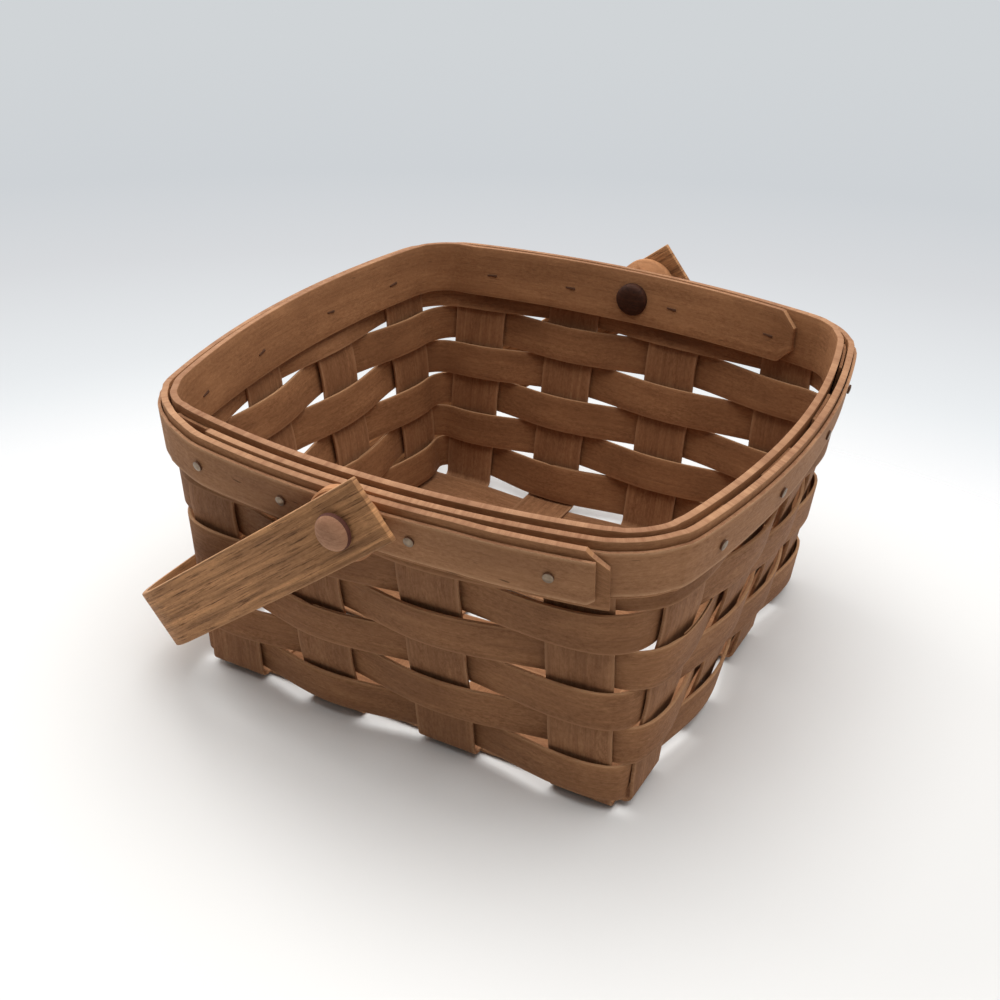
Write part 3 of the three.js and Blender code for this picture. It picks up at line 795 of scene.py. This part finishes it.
def make_bands():
    start = around(0, under_lap_start)
    end = around(0, under_lap_end) + perimeter
    ramp_from = around(3, side_reach)
    ramp_to = start + perimeter - fit_gap
    first = band_gap
    second = first + under_band_thickness + fit_gap
    third = second + under_band_thickness + fit_gap
    drop = smooth_runs([(ramp_from, 0), (ramp_to, lap_drop)])
    under_layer = smooth_runs([(ramp_from, first), (ramp_to, second)])
    outer_layer = smooth_runs([(ramp_from, second), (ramp_to, third)])
    under_top = straight_runs([(end - band_cut, under_band_top), (end, under_band_top - band_cut)])
    make_band("rim_under_band", start, end, lambda q: under_layer(q) + lap_push(q), under_band_thickness,
              lambda q: outer_band_bottom - under_band_lip - drop(q), lambda q: under_top(q) - drop(q))
    outer_start = around(0, outer_lap_start)
    outer_end = around(0, outer_lap_end) + perimeter
    feather = straight_runs([
        (outer_start, feather_thickness / outer_band_thickness), (outer_end - perimeter, 1)])
    outer_bottom = straight_runs([
        (outer_end - band_cut / 3, outer_band_bottom), (outer_end, outer_band_bottom + band_cut / 3)])

    def outer_inside(q):
        # The thinned start keeps its inner face on the layer under it
        return outer_layer(q) + lap_push(q) - outer_band_thickness * (1 - feather(q)) / 2

    make_band("rim_outer_band", outer_start, outer_end, outer_inside, outer_band_thickness,
              lambda q: outer_bottom(q) - drop(q), lambda q: outer_band_top - drop(q),
              wood=outer_band_wood, thin=feather)
    inner_start = around(2, inner_lap_start)
    inner_end = around(2, inner_lap_end) + perimeter
    step_from = around(2, inner_lap_end + fit_gap)
    step_to = around(2, side_reach) + corner_room
    near = -band_gap - inner_band_thickness
    far = near - inner_band_thickness - fit_gap
    low = rim_height - inner_band_width
    make_band("rim_inner_band", inner_start, inner_end,
              smooth_runs([(step_from, far), (step_to, near)]), inner_band_thickness,
              straight_runs([(inner_start, low + band_cut), (inner_start + band_cut, low)]),
              straight_runs([(inner_start, rim_height - band_cut), (inner_start + band_cut, rim_height)]))


make_bands()


# The topmost weaver, whose upper part is hidden between the rim bands

def make_top_weaver():
    low, places, lengths, sway, lapped, fullness = weaver_course(weaver_rows)
    shown = outer_band_bottom - under_band_lip - low
    rises = [shown * share for share in (0, 0.2, 0.4, 0.6, 0.8, shown_share)]
    rises += [shown + tuck / 2, shown + tuck]

    def closing(j):
        return min(rises[j] / (shown * shown_share), 1)

    def narrowing(j):
        return 1 - (1 - nip_thickness / splint_thickness) * closing(j)

    def place(i, j):
        q = places[i]
        way = sway(q)
        nip = (band_gap - pinch(q) - nip_thickness / 2 - nip_clearance) * max(-1, min(1, nip_steepness * way))
        offset = way * top_swing * (1 - closing(j)) + nip * closing(j)
        trim = edge_stray * wander(q, 25, short_wave) if j == 0 else 0
        return wall_point(q, low + rises[j] + trim, offset + lapped(q) * narrowing(j))

    widths = [rise - weaver_width / 2 for rise in rises]
    lay_strip(f"woven_weaver_{row_names[weaver_rows]}_row", place, lengths, widths, splint_thickness,
              weaver_wood, "basket", "weaver_wood", edge_wood=weaver_edge_wood, bevel=top_weaver_bevel,
              thin=lambda i, j: fullness(places[i]) * narrowing(j))


make_top_weaver()


# Nails

nail_sides = 20
nail_head_seat_share = 0.62
nail_dome_steps = ((0.45, 0.16), (0.5, 0.1))  # each one an inset and a rise
nail_shank_radius = 0.7
nail_point_inset = 0.3
nail_point_length = 0.4
nail_point_room = 0.9
nail_tail_room = 0.45
nail_tail_size = (3.6, 0.9, 0.5)
nail_tail_bevel = 0.18
nail_tail_taper = 0.55
nail_tail_sink = 0.32
nail_tail_shift = 1.0
nail_tail_turn = 0.35
nail_tail_wave = 0.37
# Faces turned further from straight out than this, the head's sides, take the painted shade with stain
nail_stain_and_shade_facing = 0.35
wall_names = ("near", "right", "far", "left")


def nail_place(side, stake):
    centre = stake_centre(side, stake)
    return around(side, centre - math.copysign(corner_nail_shift, centre) if outermost(stake) else centre)


def nail_frame(side, stake):
    q = nail_place(side, stake)
    origin = wall_point(q, nail_height, 0)
    out = (wall_point(q, nail_height, 1) - origin).normalized()
    direction = out * math.cos(slope_angle) - Vector((0, 0, math.sin(slope_angle)))
    return origin, direction


def inset_and_move(inset, rise):
    bpy.ops.mesh.inset(thickness=inset * MM)
    bpy.ops.transform.translate(value=(0, 0, rise * MM))


def edit_faces(piece, facing):
    """Opens a piece for editing with its top faces selected, or its bottom ones where facing is -1."""
    edit_points("DESELECT")
    to_mode("OBJECT")
    for polygon in piece.data.polygons:
        polygon.select = polygon.normal.z * facing > 0.9
    to_mode("EDIT")


def make_nail_tail(depth, slant):
    """The nail's tip, bent over flat on the inner band."""
    tail = add_shape("tail", bpy.ops.mesh.primitive_cube_add, size=1)
    tail.data.transform(Matrix.Diagonal((*(size * MM for size in nail_tail_size), 1)))
    edit_points("SELECT")
    bpy.ops.mesh.bevel(offset=nail_tail_bevel * MM, segments=2)
    to_mode("OBJECT")
    for vertex in tail.data.vertices:
        if vertex.co.x > 0:
            vertex.co.y *= nail_tail_taper
    moved = Matrix.Translation((0, 0, -depth * MM)) @ Matrix.Rotation(slant, 4, "Z")
    tail.data.transform(moved @ Matrix.Translation((nail_tail_shift * MM, 0, 0)))
    return tail


def make_nail(side, stake):
    origin, direction = nail_frame(side, stake)
    lapped = near_stack if side == 0 else far_stack
    pushed = lap_push(nail_place(side, stake) + perimeter) if side == 0 else 0
    doubled = inner_band_thickness + fit_gap if side == 2 else 0
    seat = (lapped + pushed) * math.cos(slope_angle)
    tip = (band_gap + inner_band_thickness + doubled) * math.cos(slope_angle) + nail_tail_room
    node = f"rim_nail_{wall_names[side]}_{stake + 1}"
    nail = add_shape(f"driven_{node}", bpy.ops.mesh.primitive_cylinder_add,
                     vertices=nail_sides, radius=nail_head_radius * MM, depth=nail_head_height * MM)
    edit_faces(nail, 1)
    for inset, rise in nail_dome_steps:
        inset_and_move(inset, rise)
    edit_faces(nail, -1)
    bpy.ops.mesh.inset(thickness=(nail_head_radius - nail_shank_radius) * MM)
    shank = seat + tip - nail_point_room
    bpy.ops.mesh.extrude_region_move(TRANSFORM_OT_translate={"value": (0, 0, -shank * MM)})
    inset_and_move(nail_point_inset, -nail_point_length)
    to_mode("OBJECT")
    nail.data.transform(Matrix.Translation((0, 0, (seat + nail_head_height * nail_head_seat_share) * MM)))
    slant = nail_tail_turn * wander(stake * 40 + 3, side + 9, nail_tail_wave)
    tail = make_nail_tail(tip - nail_tail_sink, slant)
    select_only(nail)
    tail.select_set(True)
    bpy.ops.object.join()
    nail.data.materials.append(brass)
    nail.data.materials.append(nail_stain_and_shade)
    # The head's sides get painted shade with stain round the head, and the clinched tip below gets the stain
    for polygon in nail.data.polygons:
        if polygon.normal.z < nail_stain_and_shade_facing or polygon.center.z < 0:
            polygon.material_index = 1
    turn = direction.to_track_quat("Z", "Y").to_matrix().to_4x4()
    nail.data.transform(Matrix.Translation(origin * MM) @ turn)
    finish_piece(nail, turned_sharp_angle, "basket", "nail_metal", node)


for side in range(4):
    for stake in range(stakes_per_side):
        make_nail(side, stake)


# Pegs, washers and buttons turned about the pivot axis

turning_sides = 48
smallest_turning = 0.05
turned_grain_lean = 0.4
washer_bore_room = 0.2
washer_bevel = 0.5
button_bore_room = 0.15
button_bore_end = 0.85
spare_length = 6.0  # past the wall, cut off along its lean
head_draw = 0.4  # the dressed head is this much smaller all round than the part's
head_lip = 0.5
head_undercut = 0.4
# The share of the head's height, from its foot, whose side takes the painted shade
head_shade_share = 0.4
dome_fullness = 0.75
dome_shares = (0, 0.12, 0.25, 0.4, 0.55, 0.7, 0.85, 0.94)
peg_end_depth = 1.0
peg_end_bevel = 0.3
peg_end_share = 0.8
# Shares of the button's radius, with depths below its crown, then with shares of its height
button_crown = ((0, 0.02), (0.30, 0.05), (0.55, 0.2))
button_side = ((0.76, 0.22), (0.92, 0.42), (1, 0.68))


def pivot_wall():
    """Distance out to the middle of the wall at the pivots, between the two middle stakes."""
    before = wall_point(around(0, stake_centre(0, 1) + stake_width / 2), pivot_height, 0)
    after = wall_point(around(0, stake_centre(0, 2) - stake_width / 2), pivot_height, 0)
    return -before.lerp(after, before.x / (before.x - after.x)).y


def pivot_planes(facing):
    stack = near_stack if facing > 0 else far_stack
    inside = 0 if facing > 0 else inner_band_thickness + fit_gap
    wall = pivot_wall()
    washer_out = wall + stack + fit_gap + washer_thickness
    leg_in = washer_out + fit_gap
    head_in = leg_in + handle_thickness + fit_gap
    band_in = wall - band_gap - inner_band_thickness - inside
    return wall, stack, washer_out, leg_in, head_in, band_in, band_in - fit_gap - button_height


def turned(name, profile, facing, wood, node):
    """A piece turned from its half outline, radius and distance out, about the pivot axis."""
    shift = next_uv_shift()
    last_radius, last_out = profile[0]
    piece = add_shape(name, bpy.ops.mesh.primitive_circle_add, vertices=turning_sides,
                      radius=max(last_radius, smallest_turning) * MM, fill_type="NOTHING")
    piece.data.transform(Matrix.Translation((0, 0, last_out * MM)))
    edit_points("SELECT")
    for radius, out in profile[1:]:
        bpy.ops.mesh.extrude_region_move(TRANSFORM_OT_translate={"value": (0, 0, (out - last_out) * MM)})
        share = max(radius, smallest_turning) / max(last_radius, smallest_turning)
        bpy.ops.transform.resize(value=(share, share, 1), center_override=(0, 0, out * MM))
        last_radius, last_out = radius, out
    edit_points("SELECT")
    bpy.ops.mesh.remove_doubles(threshold=0.01 * MM)
    if profile[0][0] == 0:
        edit_points("DESELECT")
        bpy.ops.mesh.select_non_manifold()
        bpy.ops.mesh.edge_face_add()
    edit_points("SELECT")
    bpy.ops.mesh.normals_make_consistent(inside=False)
    to_mode("OBJECT")
    layer = piece.data.uv_layers.active or piece.data.uv_layers.new(name="UVMap")
    for loop in piece.data.loops:
        x, y, z = piece.data.vertices[loop.vertex_index].co
        layer.data[loop.index].uv = (x + shift, y + z * turned_grain_lean)
    turn = Matrix.Rotation(facing * math.pi / 2, 4, "X")
    piece.data.transform(Matrix.Translation((0, 0, pivot_height * MM)) @ turn)
    piece.data.materials.append(wood)
    finish_piece(piece, turned_sharp_angle, "basket", "peg_wood", node)
    return piece


def cut_by_wall(piece, facing, offset, keep_outside):
    """Cuts a turned piece along the wall's lean, closes the cut and keeps what is outside or inside it."""
    select_only(piece)
    point = Vector((0, -facing * (pivot_wall() + offset), pivot_height)) * MM
    normal = Vector((0, -facing * math.cos(slope_angle), -math.sin(slope_angle)))
    edit_points("SELECT")
    bpy.ops.mesh.bisect(plane_co=point, plane_no=normal, use_fill=True,
                        clear_inner=keep_outside, clear_outer=not keep_outside)
    to_mode("OBJECT")


def make_peg(end, facing, head_in, button_out):
    h = peg_head_height
    r = peg_head_radius - head_draw
    end_in = button_out + peg_end_depth
    dome = [(r * math.cos(share * math.pi / 2) ** dome_fullness,
             head_in + head_lip + (h - head_lip) * math.sin(share * math.pi / 2)) for share in dome_shares]
    peg = turned(f"turned_handle_peg_{end}", [
        (0, end_in), (peg_radius * peg_end_share, end_in), (peg_radius, end_in + peg_end_bevel),
        (peg_radius, head_in), (r - head_undercut, head_in), *dome, (0, head_in + h)],
        facing, peg_wood, f"handle_peg_{end}")
    peg.data.materials.append(peg_side_painted_shade)
    peg.data.materials.append(button_wood)
    # The shank and its end take the button's wood, and the foot of the head's side a darker brown as painted
    # shade
    for polygon in peg.data.polygons:
        out = -facing * polygon.center.y / MM
        if out < head_in:
            polygon.material_index = 2
        elif out < head_in + h * head_shade_share:
            polygon.material_index = 1


def make_pivot(end, facing):
    wall, stack, washer_out, _, head_in, band_in, button_out = pivot_planes(facing)
    make_peg(end, facing, head_in, button_out)
    bore = peg_radius + washer_bore_room
    back = washer_out - 2 * washer_thickness - spare_length
    washer = turned(f"turned_handle_washer_{end}", [
        (bore, back), (washer_radius, back), (washer_radius, washer_out - washer_bevel),
        (washer_radius - washer_bevel, washer_out), (bore, washer_out), (bore, back)],
        facing, washer_wood, f"handle_washer_{end}")
    cut_by_wall(washer, facing, stack + fit_gap, True)
    b = button_radius
    bore = peg_radius + button_bore_room
    bore_end = button_out + button_bore_end
    crown = [(b * share, button_out + depth) for share, depth in button_crown]
    crown += [(b * share, button_out + button_height * height) for share, height in button_side]
    button = turned(f"turned_handle_button_{end}", [
        *crown, (b, band_in + b), (bore, band_in + b), (bore, bore_end), (0, bore_end)],
        facing, button_wood, f"handle_button_{end}")
    cut_by_wall(button, facing, band_in - fit_gap / 2 - wall, False)


for end, facing in (("near", 1), ("far", -1)):
    make_pivot(end, facing)


# Swing handle

tip_steps = 8
ease_steps = 6
leg_steps = 16
bend_steps = 14
top_steps = 40


def rest_angle():
    """Angle of the folded legs below level, as in the part."""
    inner = handle_reach - handle_thickness
    half = handle_width / 2
    bulge = crossing + weaver_bulge + half_splint
    level = inner + slope * half
    rise = slope * inner - half
    wall = base_half_width + bulge + fit_gap / math.cos(slope_angle) + slope * pivot_height
    return math.atan2(rise, level) + math.acos(wall / math.hypot(level, rise))


def shares(steps):
    return [k / steps for k in range(1, steps + 1)]


def handle_line():
    """The handle's middle line from tip to tip, as distances from the pivot axis and along it."""
    near = pivot_planes(1)[3] + handle_thickness / 2
    far = pivot_planes(-1)[3] + handle_thickness / 2
    middle = (far - near) / 2
    half = (far + near) / 2
    straight_end = washer_radius + fit_gap
    bend = handle_bend - handle_thickness / 2
    reach = handle_reach - handle_thickness / 2
    bend_start = reach - bend * (1 - math.sin(handle_lean))
    ease_end = straight_end + handle_ease
    ease_drop = handle_ease * math.tan(handle_lean / 2)
    leg_drop = ease_drop + (bend_start - ease_end) * math.tan(handle_lean)
    runs = [(-handle_tip, 0.0)]
    for share in shares(tip_steps):
        runs.append((-handle_tip + (handle_tip + straight_end) * share, 0.0))
    for share in shares(ease_steps):
        runs.append((straight_end + handle_ease * share, ease_drop * share * share))
    for share in shares(leg_steps):
        runs.append((ease_end + (bend_start - ease_end) * share, ease_drop + (leg_drop - ease_drop) * share))
    for share in shares(bend_steps):
        angle = handle_lean + (math.pi / 2 - handle_lean) * share
        runs.append((bend_start + bend * (math.sin(angle) - math.sin(handle_lean)),
                     leg_drop + bend * (math.cos(handle_lean) - math.cos(angle))))
    first = [(run, middle - half + drop) for run, drop in runs]
    second = [(run, middle + half - drop) for run, drop in runs]
    (run, start), (_, end) = first[-1], second[-1]
    top = [(run, start + (end - start) * share) for share in shares(top_steps)[:-1]]
    return first + top + second[::-1]


def make_handle():
    line = handle_line()
    turn = Matrix.Rotation(-rest_angle(), 3, "Y")
    lift = Vector((0, 0, pivot_height))
    widths = lines_across(handle_width, handle_lines)
    lengths = running_lengths(math.hypot(c - a, d - b) for (a, b), (c, d) in zip(line, line[1:]))

    def place(i, j):
        run, y = line[i]
        return turn @ Vector((-run, y, widths[j])) + lift

    lay_strip("bent_swing_handle", place, lengths, widths, handle_thickness, handle_wood,
              "handle", "handle_wood", "swing_handle", bevel=handle_bevel)


make_handle()


# Floor, background and light; these sizes are in metres, and the lamps' powers in watts

floor_radius = 1.6
floor_drop = -0.0003
floor_fade = (0.15, 0.38)
floor_fade_centre = (0.05, -0.12, 0)
room_strength = 0.8
room_front_colour = srgb(98, 97, 96)
room_back_colour = srgb(250, 249, 248)
# The background that is seen, as the height of the line of sight and its colour, from below upwards
background = (
    (-0.76, (246, 243, 238)), (-0.52, (250, 249, 247)), (-0.46, (250, 251, 253)), (-0.42, (238, 241, 243)),
    (-0.34, (216, 218, 221)), (-0.29, (206, 210, 214)), (-0.21, (208, 212, 215)),
)
background_low, background_high = -0.8, -0.2
lamps = (
    ("Overhead light", (0.08, 0.1, 1.5), 2.1, 30.0, (1.0, 0.99, 0.98)),
    ("Window light", (-1.0, 0.2, 0.7), 0.9, 7.0, (1.0, 0.98, 0.95)),
)
lamp_target = (0, 0, 0.05)


def make_floor():
    floor = add_shape("floor", bpy.ops.mesh.primitive_circle_add, vertices=96, radius=floor_radius,
                      fill_type="NGON", location=(0, 0, floor_drop))
    material, tree, shader = new_material("Pale floor")
    shader["Base Color"].default_value = srgb(220, 220, 219)
    shader["Roughness"].default_value = 0.7
    shader["Specular IOR Level"].default_value = 0.2
    # The floor fades into the background round a point in front of the basket
    centre = add_node(tree, "ShaderNodeVectorMath", operation="SUBTRACT")
    centre.inputs[1].default_value = floor_fade_centre
    feed(tree, centre.inputs[0], add_node(tree, "ShaderNodeTexCoord").outputs["Object"])
    distance = add_node(tree, "ShaderNodeVectorMath", operation="LENGTH")
    feed(tree, distance.inputs[0], centre.outputs["Vector"])
    mix = add_node(tree, "ShaderNodeMixShader")
    fade = spread(tree, distance.outputs["Value"], *floor_fade, interpolation_type="SMOOTHSTEP")
    feed(tree, mix.inputs[0], fade)
    feed(tree, mix.inputs[1], tree.nodes["Principled BSDF"].outputs[0])
    feed(tree, mix.inputs[2], add_node(tree, "ShaderNodeBsdfTransparent").outputs[0])
    feed(tree, tree.nodes["Material Output"].inputs["Surface"], mix.outputs[0])
    floor.data.materials.append(material)


def make_world():
    world = bpy.data.worlds.new("Soft room")
    bpy.context.scene.world = world
    world.use_nodes = True
    tree = world.node_tree
    tree.nodes.clear()
    split = add_node(tree, "ShaderNodeSeparateXYZ")
    feed(tree, split.inputs[0], add_node(tree, "ShaderNodeTexCoord").outputs["Generated"])
    # The room is brighter behind the basket than in front of it
    depth = spread(tree, split.outputs["Y"], low=-1.0)
    fill = add_node(tree, "ShaderNodeBackground")
    fill.inputs["Strength"].default_value = room_strength
    feed(tree, fill.inputs["Color"], blend(tree, depth, room_front_colour, room_back_colour))
    tint = add_node(tree, "ShaderNodeValToRGB")
    ramp = tint.color_ramp.elements
    while len(ramp) < len(background):
        ramp.new(0.5)
    for element, (level, colour) in zip(ramp, background):
        element.position = (level - background_low) / (background_high - background_low)
        element.color = srgb(*colour)
    feed(tree, tint.inputs[0], spread(tree, split.outputs["Z"], background_low, background_high))
    seen = add_node(tree, "ShaderNodeBackground")
    feed(tree, seen.inputs["Color"], tint.outputs["Color"])
    path = add_node(tree, "ShaderNodeLightPath").outputs
    looked_at = count(tree, "MAXIMUM", path["Is Camera Ray"], path["Is Transmission Ray"])
    mix = add_node(tree, "ShaderNodeMixShader")
    feed(tree, mix.inputs[0], count(tree, "MAXIMUM", looked_at, path["Is Glossy Ray"]))
    feed(tree, mix.inputs[1], fill.outputs[0])
    feed(tree, mix.inputs[2], seen.outputs[0])
    feed(tree, add_node(tree, "ShaderNodeOutputWorld").inputs["Surface"], mix.outputs[0])


def in_scene(name, data):
    holder = bpy.data.objects.new(name, data)
    bpy.context.scene.collection.objects.link(holder)
    return holder


def add_lamp(name, location, size, power, colour):
    lamp = bpy.data.lights.new(name, "AREA")
    lamp.shape = "DISK"
    lamp.size = size
    lamp.energy = power
    lamp.color = colour
    holder = in_scene(name, lamp)
    holder.location = location
    holder.rotation_euler = (Vector(lamp_target) - Vector(location)).to_track_quat("-Z", "Y").to_euler()


make_floor()
make_world()
for lamp in lamps:
    add_lamp(*lamp)


# Camera

camera_azimuth = 0.48784
camera_elevation = 0.51842
camera_roll = 0.02563
camera_eye = (184.44, -360.65, 275.06)
picture_width = 1000
focal_pixels = 1440.06
sensor_width = 36


def make_camera():
    level = math.cos(camera_elevation)
    x, y = math.sin(camera_azimuth) * level, -math.cos(camera_azimuth) * level
    back = Vector((x, y, math.sin(camera_elevation)))
    right = (-back).cross(Vector((0, 0, 1))).normalized()
    up = right.cross(-back)
    turned_right = math.cos(camera_roll) * right + math.sin(camera_roll) * up
    turned_up = -math.sin(camera_roll) * right + math.cos(camera_roll) * up
    data = bpy.data.cameras.new("Camera")
    data.sensor_width = sensor_width
    data.lens = focal_pixels * sensor_width / picture_width
    data.clip_start = 0.01
    camera = in_scene("Camera", data)
    turn = Matrix((turned_right, turned_up, back)).transposed().to_4x4()
    camera.matrix_world = Matrix.Translation(Vector(camera_eye) * MM) @ turn
    bpy.context.scene.camera = camera


make_camera()
bpy.context.scene.view_settings.view_transform = "Standard"
